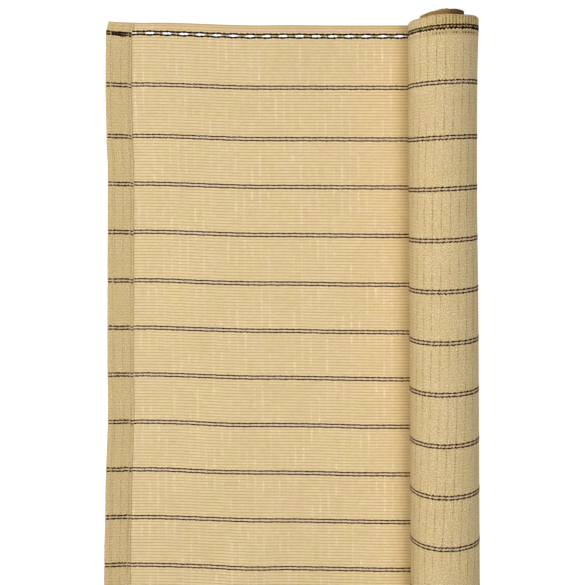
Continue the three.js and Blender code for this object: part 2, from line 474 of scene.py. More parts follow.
def cloth_fields(s, w, phase):
    """Place on the cloth, whether it is between two dark lines, how close to them, and weft yarns counted."""
    grid = np.tile(np.stack(np.broadcast_arrays(s, w, phase), -1).reshape(-1, 3), (2, 1))
    space = np.floor(grid[:, 2] + 1e-6)
    away = np.abs(grid[:, 2][:, None] - DARK - 0.5).min(axis=1)
    return {
        "cloth": grid,
        "stripe": np.isin(space, DARK).astype(float),
        "beside": 1 - smooth(*BESIDE_STRIPE, away),
        "weft": weft_count(grid[:, 0], grid[:, 1]),
    }


def shell(name, s, phase, w, front, back, materials, keep=None):
    """Closed sheet over a grid of lengths s and places w, with its own relief on either face."""
    rows, columns = np.broadcast_shapes(s.shape, w.shape)
    here, normal, _ = lie_frame(s, w)
    top = here + normal * (SHEET / 2 + front)[..., None]
    low = here - normal * (SHEET / 2 + back)[..., None]
    if keep is None:
        keep = np.ones((rows - 1, columns - 1), bool)
    faces, on_back = shell_faces(keep)
    return mesh_object(name, np.stack([top, low]), faces, materials, on_back, cloth_fields(s, w, phase))


def ridge(phase, height):
    """Rounded rib between two chain lines."""
    return height * np.sin(math.pi * (phase % 1.0)) ** RIB_ROUND


def hem_and_fold():
    """Lengths of the grid's steps in the hem and its fold, up to the flat part."""
    layer = np.linspace(HEM_START, -FOLD_LENGTH, HEM_STEPS)[:-1]
    fold = np.linspace(-FOLD_LENGTH, 0, FOLD_STEPS)
    return np.concatenate([layer, fold])


def net_flat(materials):
    """The flat part with its hem, between the two eyelet rows."""
    s = np.concatenate([hem_and_fold(), np.linspace(0, FLAT_LENGTH, FLAT_STEPS)[1:]])[:, None]
    first, last = SELVEDGE_RIBS + 1, LAST - SELVEDGE_RIBS - 1
    phase = (np.arange(first * COLUMNS_A_RIB, last * COLUMNS_A_RIB + 1) / COLUMNS_A_RIB)[None, :]
    w = across(phase)
    start, end = FLAT_LENGTH - np.array(RIB_END)
    front = ridge(phase, RIB_FRONT) * (1 - smooth(start, end, s))
    piece = shell("net_flat", s, phase, w + eyelet_spread(s, w), front, ridge(phase, RIB_BACK), materials)
    return piece


def selvedge_lengths():
    """Lengths of a selvedge's grid, close together along each eyelet."""
    centres = EYELET_START + np.arange(-1, EYELETS) * EYELET_PITCH
    x = [centre + EYELET_HALF * t for centre in centres for t in EYELET_STEPS]
    x += list(centres + EYELET_PITCH / 2)
    under_hem = list(np.linspace(HEM / 8, HEM * 3 / 4, 3))
    to_roll = list(np.linspace(x[-1] + SELVEDGE_STEP, ROLL_X, 6))
    return np.concatenate([hem_and_fold(), np.sort(x + under_hem + to_roll) - FOLD_RADIUS])[:, None]


def selvedge(name, side, materials):
    """One edge of the flat part with its row of open eyelets, at the top (1) or mirrored, below (-1)."""
    s = selvedge_lengths()
    ribs = SELVEDGE_RIBS
    slit = [ribs + SLIT_COLUMNS[0], ribs + SLIT_COLUMNS[1], ribs + 1]
    phase = np.concatenate([np.arange(ribs * COLUMNS_A_RIB + 1) / COLUMNS_A_RIB, slit])[None, :]
    w = np.broadcast_to(across(phase), (len(s), phase.shape[1])).copy()
    open_x = (s + FOLD_RADIUS) * (s > 0)
    gap = np.maximum(EYELET_RISE * eyelet_shape(open_x)[:, 0] ** EYELET_ROUND, EYELET_SHUT)
    spread = eyelet_spread(s, w)
    w[:, -3] = ROW_INSET - gap
    w[:, -2] = ROW_INSET + gap
    spread[:, -3:-1] = 0
    w = w + spread
    middle = (open_x[1:, 0] + open_x[:-1, 0]) / 2
    keep = np.ones((len(s) - 1, phase.shape[1] - 1), bool)
    keep[:, -2] = eyelet_shape(middle) == 0
    if side < 0:
        w, phase, keep = WIDTH - w[:, ::-1], LAST - phase[:, ::-1], keep[:, ::-1]
    piece = shell(name, s, phase, w, ridge(phase, RIB_SELVEDGE), ridge(phase, RIB_BACK), materials, keep)
    return piece


def net_turn(materials):
    """The outermost turn of the roll, which shows the reverse face."""
    s = (FLAT_LENGTH + length_at(np.linspace(0, 1, TURN_STEPS)))[:, None]
    phase = (np.arange(LAST * TURN_COLUMNS_A_RIB + 1) / TURN_COLUMNS_A_RIB)[None, :]
    piece = shell("net_turn", s, phase, across(phase), 0 * phase, ridge(phase, RIB_TURN), materials)
    return piece


def net_wound(materials):
    """The turns inside, seen only at the two ends of the roll."""
    s = (FLAT_LENGTH + length_at(np.linspace(1, TURNS, int(TURNS * WOUND_STEPS_A_TURN))))[:, None]
    ends = np.array(WOUND_ENDS)
    narrowed = SQUEEZE[1] + SQUEEZE[2] * np.array([-1, 0, 1])
    w = np.concatenate([ends, narrowed, [WIDTH / 2], WIDTH - ends[::-1]])[None, :]
    drift = sum(far * np.sin(s / length + shift) for far, length, shift in WOUND_DRIFT)
    at_end = np.abs(w - WIDTH / 2) > WIDTH / 2 - WOUND_DRIFT_DEPTH
    w = w + np.where(w < WIDTH / 2, drift, -drift) * at_end
    phase = np.interp(w, LINES, np.arange(LAST + 1))
    piece = shell("net_wound", s, phase, w, 0 * phase, 0 * phase, materials)
    return piece


def cords(name, centre, first_axis, second_axis, first_half, second_half, sides, materials):
    """Closed cords: centre is (cord, ring, 3), with two axes and two half sizes for every ring."""
    count, rings = centre.shape[:2]
    angle = np.arange(sides) * 2 * math.pi / sides
    points = (
        centre[:, :, None]
        + first_axis[:, :, None] * (first_half[..., None] * np.cos(angle))[..., None]
        + second_axis[:, :, None] * (second_half[..., None] * np.sin(angle))[..., None]
    )
    index = np.arange(count * rings * sides).reshape(count, rings, sides)
    beside = np.roll(index, -1, axis=2)
    quads = np.stack([index[:, :-1], beside[:, :-1], beside[:, 1:], index[:, 1:]], -1).reshape(-1, 4)
    caps = index[:, 0, ::-1].tolist() + index[:, -1].tolist()
    return mesh_object(name, points, quads.tolist() + caps, materials)


def seam_places():
    """Lengths at which the hem is sewn."""
    return HEM_START + np.array(SEAM_INSETS)


def waves(stitch, row, table):
    """Sum of waves along a chain, which differ from row to row."""
    return sum(height * np.sin(stitch * pace + row * shift) for height, pace, shift in table)


def chain_drift(stitch, row, wound, at_eyelets):
    """How far a chain strays from its line: slowly, and in a fitful zigzag."""
    fits, pace, shift = ZIGZAG_FITS
    fitful = 1 - fits + fits * np.sin(stitch * pace + row * shift)
    zigzag = np.where(wound, np.array(ROLL_ZIGZAG)[at_eyelets], np.array(CHAIN_ZIGZAG)[at_eyelets])
    return waves(stitch, row, CHAIN_DRIFT) + zigzag * np.sin(2 * math.pi * stitch / ZIGZAG_STITCHES) * fitful


def chain_unevenness(stitch, row, wound, at_eyelets):
    """Share of its full size that a chain has from stitch to stitch, most uneven on the roll's plain rows."""
    uneven = np.maximum(1 + waves(stitch, row, CHAIN_UNEVEN), CHAIN_THINNEST)
    return np.where(wound & (at_eyelets == 0), uneven, 1 - CHAIN_CALM + CHAIN_CALM * uneven)


def chain_stoutness(s, stitch, row, wound, at_eyelets):
    """How wide a chain is beside a plain one on the flat part, and how it is pinched by the hem's seams."""
    turns = turns_at(s - FLAT_LENGTH)
    in_hem = s < -FOLD_LENGTH / 2
    upper, lower = (row == DARK[0]) & wound, (row == DARK[0] + 1) & wound
    stout = np.where(at_eyelets == 1, EYELET_CHAIN, 1.0) * np.where(upper, ROLL_UPPER, 1.0)
    more, start, end = ROLL_THICK
    stout = stout * (1 + more * lower * smooth(start, end, turns))
    lumps, pace = ROLL_LUMPS
    stout = stout * (1 + lumps * lower * np.sin(stitch * pace))
    least, more, start, end = ROLL_CHAIN
    stout = stout * (1 + (least + more * smooth(start, end, turns)) * wound)
    stout = stout * np.where(in_hem, HEM_CHAIN, 1.0)
    stout = stout * np.where(in_hem & (at_eyelets == 1), HEM_EYELET_CHAIN, 1.0)
    start, end = -FOLD_LENGTH - HEM_TANGLE[0], -FOLD_LENGTH - HEM_TANGLE[1]
    slack = smooth(start, start - HEM_SLACK_FADE, s) * (s > end) * at_eyelets
    stout = stout * (1 - (1 - HEM_SLACK_CHAIN) * slack)
    pinch, length = SEAM_PINCH
    for place in seam_places():
        stout = stout * (1 - pinch * bell(s, place, length))
    return stout


def chain_set(name, s, lines, side, materials):
    """Chains of two crossing strands along the chain lines, on the net's front (1) or reverse (-1) face."""
    row = np.array(lines)[:, None]
    s = s[None, :]
    stitch = s / STITCH + row * ROW_SHIFT
    wound = s >= FLAT_LENGTH
    at_eyelets = np.isin(row, EYELET_LINES).astype(int)
    uneven = chain_unevenness(stitch, row, wound, at_eyelets)
    drift = chain_drift(stitch, row, wound, at_eyelets) + eyelet_spread(s, LINES[row])
    # Pressed flat where the roll stands on the floor, which is at the start and at the end of its outer turn
    foot = smooth(*ROLL_FOOT, 0.5 - np.abs(turns_at(s - FLAT_LENGTH) - 0.5))
    pressed = np.where(wound, np.maximum(foot, ROLL_RISE_LEAST) * ROLL_PRESS, 1.0)
    face = SHEET / 2 * np.where(wound, ROLL_RISE_LEAST + (1 - ROLL_RISE_LEAST) * foot, 1.0)
    least, more = STRAND_LIFT
    centre = []
    for strand in (0, 1):
        swing = STRAND_SWING * np.cos(math.pi * (stitch + strand))
        over = np.sin(math.pi * stitch) * (1 - 2 * strand)
        here, normal, up = lie_frame(s, LINES[row] + swing + drift)
        lift = face + STRAND_RISE * (least + more * over) * pressed
        centre.append(here + side * lift[..., None] * normal)
    half = STRAND_HALF * uneven * chain_stoutness(s, stitch, row, wound, at_eyelets)
    rise = STRAND_RISE * pressed * np.minimum(uneven, 1)
    pairs = (centre, (up, up), (side * normal, side * normal), (half, half), (rise, rise))
    return cords(name, *(np.concatenate(pair) for pair in pairs), STRAND_SIDES, materials)


def chain_pieces(materials):
    """Dark chains of both halves of the flat part, of the roll's outer turn and of the hem."""
    pairs = [line for dark in DARK for line in (dark, dark + 1)]
    step = STITCH / CHAIN_STEPS
    flat = np.arange(0, FLAT_LENGTH - CHAIN_END, step)
    around = FLAT_LENGTH + np.arange(0, length_at(1), step)
    hem = np.arange(HEM_START + HEM_CHAIN_START, -FOLD_LENGTH * HEM_CHAIN_END, step * HEM_CHAIN_STEP)
    half = len(pairs) // 2
    return [
        chain_set("chains_flat_top", flat, pairs[:half], 1, materials),
        chain_set("chains_flat_bottom", flat, pairs[half:], 1, materials),
        chain_set("chains_roll", around, pairs, -1, materials),
        chain_set("chains_hem", hem, pairs, -1, materials),
    ]


def hem_tangle(materials):
    """Slack dark yarn of the eyelet that is closed inside the hem, at both eyelet rows."""
    start, end = HEM_TANGLE
    count = len(TANGLE_PLACES)
    strand = np.arange(2 * count)[:, None]
    row = np.where(strand < count, ROW_INSET, WIDTH - ROW_INSET)
    inward = np.where(strand < count, 1, -1)
    place = np.array(TANGLE_PLACES)[strand % count]
    part = np.linspace(0, 1, TANGLE_STEPS)[None, :]
    s = -FOLD_LENGTH - end + part * (end - start)
    lowest = place > TANGLE_LOW
    sag, middle, spread = TANGLE_SAG
    tuck, tuck_start, tuck_end = TANGLE_TUCK
    sag = lowest * (sag * bell(part, middle, spread) - tuck * smooth(tuck_start, tuck_end, part))
    thinnest, thin_end, full_start = TANGLE_THIN
    full = thinnest + (1 - thinnest) * smooth(thin_end, full_start, part)
    full = np.where((place > 0) & ~lowest, full, 1.0)
    far, pace, more, shift = TANGLE_CURL
    curl = far * np.sin(part * (pace + more * strand) + strand * shift) * np.sin(math.pi * part) ** 0.5
    curl = curl * np.where(place < 0, TANGLE_CALM, 1.0)
    here, normal, up = lie_frame(s, row + inward * (place + sag) + curl)
    mean, swing, pace, more = TANGLE_LIFT
    lift = SHEET / 2 + STRAND_RISE * (mean + swing * np.sin(part * (pace + more * strand) + strand))
    mean, swing, pace, shift = TANGLE_HALF
    half = STRAND_HALF * (mean + swing * np.sin(part * pace + strand * shift)) * full
    centre = here - lift[..., None] * normal
    return cords("hem_tangle", centre, up, normal, half, half * TANGLE_FLAT, STRAND_SIDES, materials)


def hem_seam(materials):
    """Rows of stitches through the hem, one near its free edge and one near the fold."""
    start = np.arange(SEAM_ENDS[0], WIDTH - SEAM_ENDS[1], SEAM_STITCH)
    start = np.concatenate([start, start + SEAM_STAGGER])[:, None]
    place = np.repeat(seam_places(), len(start) // 2)[:, None]
    sway, pace = SEAM_SWAY
    t = np.linspace(0, 1, THREAD_RINGS)[None, :]
    w = start + t * SEAM_STITCH * SEAM_REACH
    here, normal, up = lie_frame(place + sway * np.sin(start * pace), w)
    arch = np.sin(math.pi * t)
    lift = (SHEET / 2 + THREAD_HALF * (arch - THREAD_SINK))[..., None]
    half = THREAD_HALF * (1 - THREAD_TAPER + THREAD_TAPER * arch) * np.ones_like(w)
    along = np.cross(normal, up)
    return cords("hem_seam", here - normal * lift, along, normal, half, half, THREAD_SIDES, materials)


def core_profile():
    """Radius and place along the tube of the line round its wall, and half its length."""
    half = (CORE_HIGH.y - CORE_LOW.y) / 2 * CORE_SHRINK
    rings = np.array(CORE_RINGS)
    wall_y = np.concatenate([-half + rings, [0], (half - rings)[::-1]])
    end_y = half + np.array(CORE_PLIES)
    plies = np.linspace(CORE_RADIUS - CORE_EDGE, CORE_BORE + CORE_EDGE, len(CORE_PLIES))
    outside, bore = np.full(len(wall_y), CORE_RADIUS), np.full(len(wall_y), CORE_BORE)
    radius = np.concatenate([outside, plies, bore, plies[::-1]])
    return radius, np.concatenate([wall_y, end_y, wall_y[::-1], -end_y[::-1]]), half


def core_board(materials):
    """Cardboard tube: wall with layered, slightly worn ends, the upper one torn."""
    radius, y, half = core_profile()
    angle = np.linspace(-math.pi, math.pi, CORE_SIDES, endpoint=False)[:, None]
    out = np.abs(y) / half
    deep, start = CORE_DENT
    dent = deep * smooth(start, 1, out) * np.sin(2 * angle + 0.6) * np.sign(y + 1e-9)
    deep, start = CORE_WEAR
    worn = deep * smooth(start, 1, out) * np.sin(11 * angle + 3 * np.sin(5 * angle))
    short, left, right = CORE_TEAR
    coarse, fine = CORE_RAGGED
    torn = short + coarse * np.sin(4 * angle + 1) + fine * np.sin(9 * angle)
    torn = torn + left * np.clip(-np.sin(angle), 0, 1) + right * np.clip(np.sin(angle), 0, 1)
    torn = torn * smooth(CORE_TEAR_START, 1, y / half)
    radius = radius[None, :] + dent
    y = y[None, :] + worn - torn
    over, up = radius * np.sin(angle), radius * np.cos(angle)
    points = np.stack([AXIS.x + over - LEAN * y, AXIS.y + y + LEAN * over, AXIS.z + up], -1)
    index = np.arange(radius.size).reshape(radius.shape)
    beside = np.roll(index, -1, axis=0)
    faces = np.stack([index, np.roll(index, -1, 1), np.roll(beside, -1, 1), beside], -1).reshape(-1, 4)
    tube = np.stack(np.broadcast_arrays(angle, y, radius), -1).reshape(-1, 3)
    return mesh_object("core_board", points, faces.tolist(), materials, fields={"tube": tube})


# Colours
FRONT_ROSE = (0.870, 0.717, 0.466, 1)
FRONT_YELLOW = (0.832, 0.732, 0.414, 1)
FRONT_DEEP = (0.690, 0.482, 0.235, 1)
FRONT_PALE = (0.960, 0.830, 0.580, 1)
FRONT_LINE = (0.530, 0.345, 0.135, 1)
FRONT_EDGE = (0.780, 0.600, 0.360, 1)
FRONT_BESIDE = (0.865, 0.705, 0.475, 1)
FRONT_STRIPE = (0.790, 0.635, 0.440, 1)
FRONT_DUSK = (0.480, 0.370, 0.250, 1)
# Painted warm shade on the flat part just before the roll's foot
FRONT_FOOT_SHADE = (0.845, 0.665, 0.320, 1)
REVERSE_ROSE = (0.830, 0.665, 0.420, 1)
REVERSE_OLIVE = (0.800, 0.680, 0.370, 1)
REVERSE_DEEP = (0.560, 0.395, 0.165, 1)
REVERSE_SPECK = (0.455, 0.300, 0.120, 1)
REVERSE_HEM = (0.620, 0.455, 0.235, 1)
REVERSE_RIM = (0.560, 0.390, 0.110, 1)
REVERSE_PALE = (0.870, 0.730, 0.520, 1)
REVERSE_STRIPE = (0.770, 0.630, 0.490, 1)
REVERSE_DUSK = (0.250, 0.175, 0.125, 1)
REVERSE_LINE = (0.290, 0.160, 0.030, 1)
REVERSE_HOLE = (0.050, 0.030, 0.003, 1)
# Near black along the eyelet rows of the hem and of the roll's outer turn, from its foot up its right side
REVERSE_ROW_DARK = (0.080, 0.040, 0.018, 1)
REVERSE_BELOW = (0.440, 0.320, 0.120, 1)
CHAIN_BLACK = (0.014, 0.006, 0.001, 1)
CHAIN_DARK = (0.030, 0.014, 0.003, 1)
CHAIN_WORN = (0.105, 0.052, 0.012, 1)
THREAD_LOW = (0.42, 0.310, 0.150, 1)
THREAD_HIGH = (0.66, 0.510, 0.290, 1)
BOARD_LOW = (0.200, 0.108, 0.026, 1)
BOARD_HIGH = (0.400, 0.260, 0.085, 1)
BOARD_SEAM = (0.060, 0.028, 0.008, 1)
# A stain with painted shade, darkening the tube towards its right side
BOARD_STAIN_AND_SHADE = (0.105, 0.045, 0.008, 1)
FLOOR_GREY = (0.35, 0.35, 0.35, 1)
WHITE = (1, 1, 1, 1)

# Where a look of the cloth starts and where it is full, measured from the net's middle line
OUTER_RIBS = (0.486, 0.490)
# Painted shade: a dark line along the outer edge of each selvedge
EDGE_SHADE_LINE = (0.4974, 0.4986)
FIRST_STRIPE = (0.4795, 0.4800)
FIRST_ROW = (0.4800, 0.4802)
OPEN_RIBS = (0.4822, 0.4828)
BELOW_START = (0.4700, 0.4760)
BELOW_END = (0.4800, 0.4790)
UNDER_ROW = 0.4764
BLACK_CHAINS = (0.468, 0.474)

# The same along the net: in the hem, before the roll and up the roll's side
HEM_FACE = (0.0005, -0.0005)
# Where the painted shade before the roll's foot starts and where it is full
SHADE_BEFORE_ROLL = (ROLL_X - ROLL_RADIUS - 0.022, ROLL_X - ROLL_RADIUS - 0.001)
HOLES_END = (FLAT_LENGTH + 0.180, FLAT_LENGTH + 0.135)
# Where the near black along the eyelet rows ends, up the roll's right side
ROW_DARK_END = (FLAT_LENGTH + 0.124, FLAT_LENGTH + 0.106)

# The same on the tube: across it, and through its wall from the bore outwards
# Where the stain and painted shade on the tube's right side start and where they are full
STAIN_AND_SHADE_SIDE = (AXIS.x - 0.020, AXIS.x + 0.030)
GRIME_SIDE = (AXIS.x - 0.012, AXIS.x + 0.010)
PLIES_START = (0.0258, 0.0262)
PLIES_END = (0.0296, 0.0292)
PLY = 0.0009
SPIRAL_PITCH = 0.11
SPIRAL_SEAM = (0.485, 0.497)


def new_material(name, roughness, specular):
    material = bpy.data.materials.new(name)
    material.use_nodes = True
    shader = material.node_tree.nodes["Principled BSDF"]
    shader.inputs["Roughness"].default_value = roughness
    shader.inputs["Specular IOR Level"].default_value = specular
    return material, material.node_tree, shader


def feed(tree, socket, value):
    """A value for a socket, from another node or as a plain number or colour."""
    if isinstance(value, bpy.types.NodeSocket):
        tree.links.new(value, socket)
    else:
        socket.default_value = value


def maths(tree, operation, *values):
    node = tree.nodes.new("ShaderNodeMath")
    node.operation = operation
    for socket, value in zip(node.inputs, values):
        feed(tree, socket, value)
    return node.outputs[0]


def ramp(tree, value, low, high, start=0.0, end=1.0):
    """From start to end while a value goes from low to high."""
    node = tree.nodes.new("ShaderNodeMapRange")
    node.interpolation_type = "SMOOTHSTEP"
    for key, number in (("Value", value), ("From Min", low), ("From Max", high)):
        feed(tree, node.inputs[key], number)
    node.inputs["To Min"].default_value = start
    node.inputs["To Max"].default_value = end
    return node.outputs[0]


def field(tree, name):
    node = tree.nodes.new("ShaderNodeAttribute")
    node.attribute_name = name
    return node


def parts(tree, vector):
    node = tree.nodes.new("ShaderNodeSeparateXYZ")
    tree.links.new(vector, node.inputs[0])
    return node.outputs


def noise(tree, x, y, z, detail=2.0, rough=0.5):
    """Noise at a place that is already scaled along each of its axes, from 0 to 1."""
    place = tree.nodes.new("ShaderNodeCombineXYZ")
    for socket, value in zip(place.inputs, (x, y, z)):
        feed(tree, socket, value)
    node = tree.nodes.new("ShaderNodeTexNoise")
    node.inputs["Scale"].default_value = 1.0
    node.inputs["Detail"].default_value = detail
    node.inputs["Roughness"].default_value = rough
    tree.links.new(place.outputs[0], node.inputs["Vector"])
    return node.outputs["Fac"]


def grain(tree, spot, scales, *kind):
    """Noise at a spot of two or three values, each with its scale; kind is what noise still needs."""
    return noise(tree, *(scaled(tree, value, scale) for value, scale in zip(spot, scales)), *kind)


def blend_colour(tree, amount, first, second):
    node = tree.nodes.new("ShaderNodeMix")
    node.data_type = "RGBA"
    feed(tree, node.inputs["Factor"], amount)
    feed(tree, node.inputs["A"], first)
    feed(tree, node.inputs["B"], second)
    return node.outputs["Result"]


def coats(tree, base, *over):
    """Colour of a base with coats over it, each an amount and a colour."""
    for amount, colour in over:
        base = blend_colour(tree, amount, base, colour)
    return base


def lift_from(tree, shader, height, depth):
    """Relief in the shading, from a height of 0 to 1."""
    bump = tree.nodes.new("ShaderNodeBump")
    bump.inputs["Strength"].default_value = 1.0
    bump.inputs["Distance"].default_value = depth
    tree.links.new(height, bump.inputs["Height"])
    tree.links.new(bump.outputs[0], shader.inputs["Normal"])


def scaled(tree, value, factor):
    return maths(tree, "MULTIPLY", value, factor)


def both(tree, *values):
    """Product of two or more values."""
    result = values[0]
    for value in values[1:]:
        result = maths(tree, "MULTIPLY", result, value)
    return result


def distance(tree, value, place):
    return maths(tree, "ABSOLUTE", maths(tree, "SUBTRACT", value, place))


def near(tree, value, place, far, close):
    """1 where a value lies at a place, 0 where it is far from it."""
    return ramp(tree, distance(tree, value, place), far, close)


def own_place(tree):
    """Place in the piece's own axes."""
    return parts(tree, tree.nodes.new("ShaderNodeTexCoord").outputs["Object"])


def knit_fields(tree):
    """Place on the cloth, closeness to a chain line and a stitch, share of a weft yarn, one value a dash."""
    s, w, phase = parts(tree, field(tree, "cloth").outputs["Vector"])
    out = distance(tree, maths(tree, "FRACT", phase), 0.5)
    number = maths(tree, "FLOOR", maths(tree, "ADD", phase, 0.5))
    shift = noise(tree, scaled(tree, number, 7.3), 0.5, 0.5)
    stitch = maths(tree, "ADD", maths(tree, "DIVIDE", s, STITCH), scaled(tree, shift, 9.0))
    beat = distance(tree, maths(tree, "FRACT", stitch), 0.5)
    drift = maths(tree, "SUBTRACT", grain(tree, (s, w), (8.0, 30.0), 4.0), 0.5)
    yarn = maths(tree, "ADD", field(tree, "weft").outputs["Fac"], scaled(tree, drift, 0.12))
    dash = grain(tree, (maths(tree, "FLOOR", phase), yarn), (0.93, 1.3), 9.0, 1.0)
    return (s, w), scaled(tree, out, 2.0), scaled(tree, beat, 2.0), maths(tree, "FRACT", yarn), dash


def stripe_fields(tree):
    """1 between the two dark lines of a stripe, and closeness to such a pair."""
    between = ramp(tree, field(tree, "stripe").outputs["Fac"], 0.3, 0.9, 0.0, 0.9)
    return between, field(tree, "beside").outputs["Fac"]


def front_knit():
    """Pale ribs with fine tapes along them, dashed grooves between them and bright bars of weft."""
    material, tree, shader = new_material("knit_front", 0.66, 0.22)
    shader.inputs["Diffuse Roughness"].default_value = 0.3
    spot, out, beat, yarn, dash = knit_fields(tree)
    s, w = spot
    patch = grain(tree, spot, (34.0, 15.0), 7.0, 3.0, 0.6)
    weft = both(tree, near(tree, yarn, 0.5, 0.15, 0.06), ramp(tree, patch, 0.40, 0.66))
    weft = both(tree, weft, ramp(tree, dash, 0.3, 0.7))
    wobble = grain(tree, spot, (160.0, 300.0), 0.0)
    line = ramp(tree, maths(tree, "ADD", out, scaled(tree, wobble, 0.24)), 0.68, 1.04)
    covered = maths(tree, "SUBTRACT", 1.0, scaled(tree, weft, 0.6))
    line = both(tree, line, ramp(tree, beat, 0.1, 0.8, 0.7, 1.0), covered)
    tape = grain(tree, spot, (90.0, 1100.0), 3.0, 3.0)
    speck = grain(tree, spot, (480.0, 520.0), 6.0, 1.0)
    blotch = grain(tree, spot, (100.0, 120.0), 8.0, 2.0)
    cloud = grain(tree, spot, (24.0, 30.0), 1.0, 3.0)
    hue = grain(tree, spot, (36.0, 36.0), 5.0, 0.0)
    edge = distance(tree, w, WIDTH / 2)
    stripe, beside = stripe_fields(tree)
    base = coats(
        tree,
        blend_colour(tree, ramp(tree, hue, 0.25, 0.75), FRONT_ROSE, FRONT_YELLOW),
        (ramp(tree, tape, 0.3, 0.7, 0.0, 0.42), FRONT_DEEP),
        (weft, FRONT_PALE),
        (ramp(tree, edge, *OUTER_RIBS, 0.0, 0.7), FRONT_EDGE),
        (scaled(tree, beside, 0.45), FRONT_BESIDE),
        (stripe, FRONT_STRIPE),
        (both(tree, stripe, ramp(tree, edge, *FIRST_STRIPE, 0.0, 0.5)), FRONT_DUSK),
        # Painted shade: the front turns warmer and darker just before the roll's foot
        (ramp(tree, s, *SHADE_BEFORE_ROLL, 0.0, 0.8), FRONT_FOOT_SHADE),
        (ramp(tree, speck, 0.35, 0.70, 0.0, 0.30), FRONT_DEEP),
        (ramp(tree, blotch, 0.35, 0.70, 0.0, 0.22), FRONT_DEEP),
        (ramp(tree, cloud, 0.35, 0.70, 0.0, 0.14), FRONT_DEEP),
        (scaled(tree, line, 0.9), FRONT_LINE),
        # Painted shade: a dark line along the outer edge of each selvedge, in the grooves' colour
        (ramp(tree, edge, *EDGE_SHADE_LINE, 0.0, 0.7), FRONT_LINE),
    )
    tree.links.new(base, shader.inputs["Base Color"])
    lift_from(tree, shader, maths(tree, "SUBTRACT", tape, line), 0.00012)
    return material


def pin_holes(tree, spot, edge, hem):
    """Dark holes over the open ribs outside the eyelet row, and one more line of them inside it."""
    s = spot[0]
    shown = both(tree, ramp(tree, s, *HOLES_END, 0.35, 1.0), ramp(tree, hem, 1.0, 0.0))
    open_ribs = both(tree, ramp(tree, edge, *OPEN_RIBS), shown)
    pin = maths(tree, "FRACT", scaled(tree, s, 1 / PIN_PITCH))
    pin_row = maths(tree, "FRACT", scaled(tree, edge, 1 / PIN_ROW))
    some = grain(tree, spot, (170.0, 170.0), 3.0, 1.0)
    holes = both(tree, near(tree, pin, 0.5, 0.32, 0.14), near(tree, pin_row, 0.5, 0.36, 0.16))
    holes = both(tree, holes, ramp(tree, some, 0.30, 0.46), open_ribs)
    gaps = noise(tree, scaled(tree, s, 110.0), 0.5, 7.0, 1.0)
    under = both(tree, near(tree, pin, 0.5, 0.36, 0.16), near(tree, edge, UNDER_ROW, 0.0016, 0.0007))
    under = both(tree, under, ramp(tree, gaps, 0.30, 0.40), shown)
    return maths(tree, "MAXIMUM", holes, under), open_ribs, shown


def reverse_knit():
    """Darker, speckled face of the hem and the roll, with dots at the wefts and pin holes at its edges."""
    material, tree, shader = new_material("knit_reverse", 0.70, 0.2)
    shader.inputs["Diffuse Roughness"].default_value = 0.1
    spot, out, beat, yarn, dash = knit_fields(tree)
    s, w = spot
    hem = ramp(tree, s, *HEM_FACE)
    edge = distance(tree, w, WIDTH / 2)
    calm = maths(tree, "SUBTRACT", 1.0, scaled(tree, hem, 0.3))
    patch = grain(tree, spot, (20.0, 22.0), 5.0, 3.0, 0.6)
    dots = both(tree, near(tree, yarn, 0.42, 0.10, 0.035), ramp(tree, out, 0.3, 0.8, 0.35, 1.0))
    dots = both(tree, dots, ramp(tree, patch, 0.36, 0.60, 0.25, 1.0))
    dots = both(tree, dots, ramp(tree, dash, 0.3, 0.6, 0.3, 1.0), calm)
    weft = both(tree, near(tree, yarn, 0.54, 0.10, 0.04), ramp(tree, dash, 0.7, 0.4), calm)
    loops = both(tree, ramp(tree, out, 0.45, 0.95), ramp(tree, beat, 0.3, 0.9, 0.3, 1.0))
    loops = scaled(tree, loops, 0.18)
    loops = maths(tree, "ADD", loops, both(tree, loops, hem))
    dark = maths(tree, "MAXIMUM", scaled(tree, dots, 0.95), loops)
    speck = grain(tree, spot, (640.0, 640.0), 2.0, 1.0)
    streak = grain(tree, spot, (560.0, 60.0), 8.0, 1.0)
    cloud = grain(tree, spot, (30.0, 30.0), 1.0, 2.0)
    hue = grain(tree, spot, (40.0, 34.0), 6.0, 0.0)
    holes, open_ribs, shown = pin_holes(tree, spot, edge, hem)
    below = both(tree, ramp(tree, edge, *BELOW_START), ramp(tree, edge, *BELOW_END), shown)
    stripe, beside = stripe_fields(tree)
    first_row = both(tree, stripe, ramp(tree, edge, *FIRST_ROW))
    base = coats(
        tree,
        blend_colour(tree, ramp(tree, hue, 0.22, 0.78), REVERSE_ROSE, REVERSE_OLIVE),
        (scaled(tree, weft, 0.35), REVERSE_PALE),
        (scaled(tree, beside, 0.35), REVERSE_PALE),
        (scaled(tree, hem, 0.25), REVERSE_HEM),
        (stripe, REVERSE_STRIPE),
        (both(tree, first_row, ramp(tree, speck, 0.22, 0.50)), REVERSE_DUSK),
        (ramp(tree, speck, 0.38, 0.64, 0.0, 0.86), REVERSE_SPECK),
        (both(tree, hem, ramp(tree, speck, 0.46, 0.60, 0.0, 0.45)), REVERSE_DEEP),
        # Near black along the eyelet rows, in the hem and from the roll's foot up its right side
        (both(tree, first_row, ramp(tree, s, *ROW_DARK_END), 0.85), REVERSE_ROW_DARK),
        (ramp(tree, streak, 0.36, 0.66, 0.0, 0.32), REVERSE_DEEP),
        (ramp(tree, cloud, 0.35, 0.70, 0.0, 0.18), REVERSE_DEEP),
        (scaled(tree, open_ribs, 0.44), REVERSE_RIM),
        (scaled(tree, below, 0.50), REVERSE_BELOW),
        (dark, REVERSE_LINE),
        (holes, REVERSE_HOLE),
    )
    tree.links.new(base, shader.inputs["Base Color"])
    lift_from(tree, shader, maths(tree, "SUBTRACT", 1.0, maths(tree, "ADD", streak, dark)), 0.00008)
    return material


